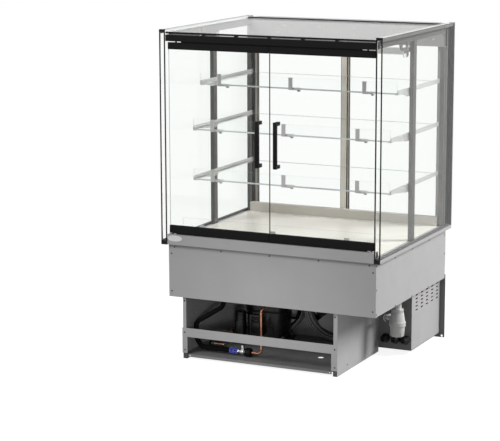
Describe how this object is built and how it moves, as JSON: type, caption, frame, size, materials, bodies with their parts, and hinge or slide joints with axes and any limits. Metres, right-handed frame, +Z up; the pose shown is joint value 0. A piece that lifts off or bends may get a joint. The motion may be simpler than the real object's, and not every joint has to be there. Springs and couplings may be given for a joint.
{
  "type": "refrigerated merchandiser",
  "caption": "Free-standing refrigerated display cabinet with a glass case, hinged front doors, glass shelves, an insulated well and an open machine base.",
  "frame": {"origin": "on the floor under the middle of the cabinet's bounding box", "axes": "+Z up, +X to the right seen from the front, +Y to the back"},
  "size_m": [1, 0.875, 1.414],
  "materials": {
    "clear_glass": "clear polished glass",
    "clear_strip": "clear strip",
    "lamp_cover": "frosted diffuser",
    "black_trim": "matt black plastic",
    "black_paint": "satin black paint",
    "grey_paint": "satin grey paint",
    "light_grey_paint": "satin light grey paint",
    "light_paint": "satin anodised profile",
    "badge_plate": "bare oval plate",
    "steel": "satin steel",
    "screw_steel": "zinc-plated screw heads",
    "clip_plastic": "grey moulded clips",
    "zinc_sheet": "galvanised sheet",
    "foam": "rigid insulation foam",
    "white_paint": "off-white enamel",
    "foot_rubber": "dark rubber blocks",
    "black_shell": "black enamel",
    "fins": "pressed aluminium fins",
    "black_plastic": "moulded black plastic",
    "copper": "bare copper tube",
    "hose_rubber": "closed-cell foam sleeve",
    "white_plastic": "white moulded plastic"
  },
  "bodies": {
    "cabinet": {"side_glass_left": "clear_glass", "side_glass_right": "clear_glass", "roof_glass": "clear_glass", "upper_shelf": "clear_glass", "middle_shelf": "clear_glass", "lower_shelf": "clear_glass", "shelf_risers": "clear_strip", "lamp_diffuser": "lamp_cover", "lamp_housing": "light_paint", "edge_trims": "black_trim", "header_bar": "black_paint", "front_sill": "grey_paint", "tub_front": "grey_paint", "base_front_frame": "grey_paint", "sill_badge": "badge_plate", "rim_rails": "light_paint", "shelf_posts": "light_paint", "top_rails": "light_paint", "rear_header": "light_paint", "rear_sill": "light_paint", "corner_profiles": "light_paint", "shelf_arms": "steel", "riser_clips": "clip_plastic", "tub_sides": "light_grey_paint", "tub_floor": "zinc_sheet", "tub_insulation": "foam", "tub_liner": "steel", "deck_plate": "white_paint", "base_floor": "zinc_sheet", "base_sides": "light_grey_paint", "notch_panels": "light_grey_paint", "base_rear_plate": "light_grey_paint", "base_feet": "foot_rubber", "compressor": "black_shell", "receiver": "black_shell", "condenser": "fins", "fan_shroud": "zinc_sheet", "copper_pipes": "copper", "insulated_hose": "hose_rubber", "valve_body": "steel", "drain_trap": "white_plastic", "hose_glands": "black_plastic", "evaporator": "fins", "control_panel": "black_plastic", "panel_screws": "screw_steel"},
    "left_door": {"left_door_glass": "clear_glass", "left_door_rails": "black_paint", "left_door_handle": "black_paint"},
    "right_door": {"right_door_glass": "clear_glass", "right_door_rails": "black_paint", "right_door_handle": "black_paint"},
    "rear_left_slider": {"rear_door_left_frame": "light_paint", "rear_door_left_glass": "clear_glass"},
    "rear_right_slider": {"rear_door_right_frame": "light_paint", "rear_door_right_glass": "clear_glass"},
    "left_condenser_rotor": {"condenser_fan_left": "black_plastic"},
    "right_condenser_rotor": {"condenser_fan_right": "black_plastic"},
    "well_rotor": {"evaporator_fan": "black_plastic"},
    "coupling_knob": {"valve_knob": "black_plastic"},
    "rocker": {"power_switch": "black_plastic"}
  },
  "joints": [
    {"name": "left_door_swing", "type": "hinge", "parent": "cabinet", "child": "left_door", "pos_m": [-0.431, -0.3945, 0.955], "axis": [0, 0, -1], "range_deg": [0, 100]},
    {"name": "right_door_swing", "type": "hinge", "parent": "cabinet", "child": "right_door", "pos_m": [0.431, -0.3945, 0.955], "axis": [0, 0, 1], "range_deg": [0, 100]},
    {"name": "rear_left_slide", "type": "slide", "parent": "cabinet", "child": "rear_left_slider", "axis": [1, 0, 0], "range_m": [0, 0.42]},
    {"name": "rear_right_slide", "type": "slide", "parent": "cabinet", "child": "rear_right_slider", "axis": [-1, 0, 0], "range_m": [0, 0.42]},
    {"name": "left_condenser_fan_spin", "type": "hinge", "parent": "cabinet", "child": "left_condenser_rotor", "pos_m": [-0.206, 0.1175, 0.168], "axis": [0, 1, 0], "continuous": true},
    {"name": "right_condenser_fan_spin", "type": "hinge", "parent": "cabinet", "child": "right_condenser_rotor", "pos_m": [0.087, 0.1175, 0.168], "axis": [0, 1, 0], "continuous": true},
    {"name": "well_fan_spin", "type": "hinge", "parent": "cabinet", "child": "well_rotor", "pos_m": [0, 0.2435, 0.437], "axis": [0, 1, 0], "continuous": true},
    {"name": "coupling_knob_turn", "type": "hinge", "parent": "cabinet", "child": "coupling_knob", "pos_m": [-0.14, -0.3105, 0.04], "axis": [1, 0, 0], "range_deg": [0, 90]},
    {"name": "power_switch_rock", "type": "hinge", "parent": "cabinet", "child": "rocker", "pos_m": [0.355, 0.4335, 0.19], "axis": [1, 0, 0], "range_deg": [-8, 8]}
  ]
}
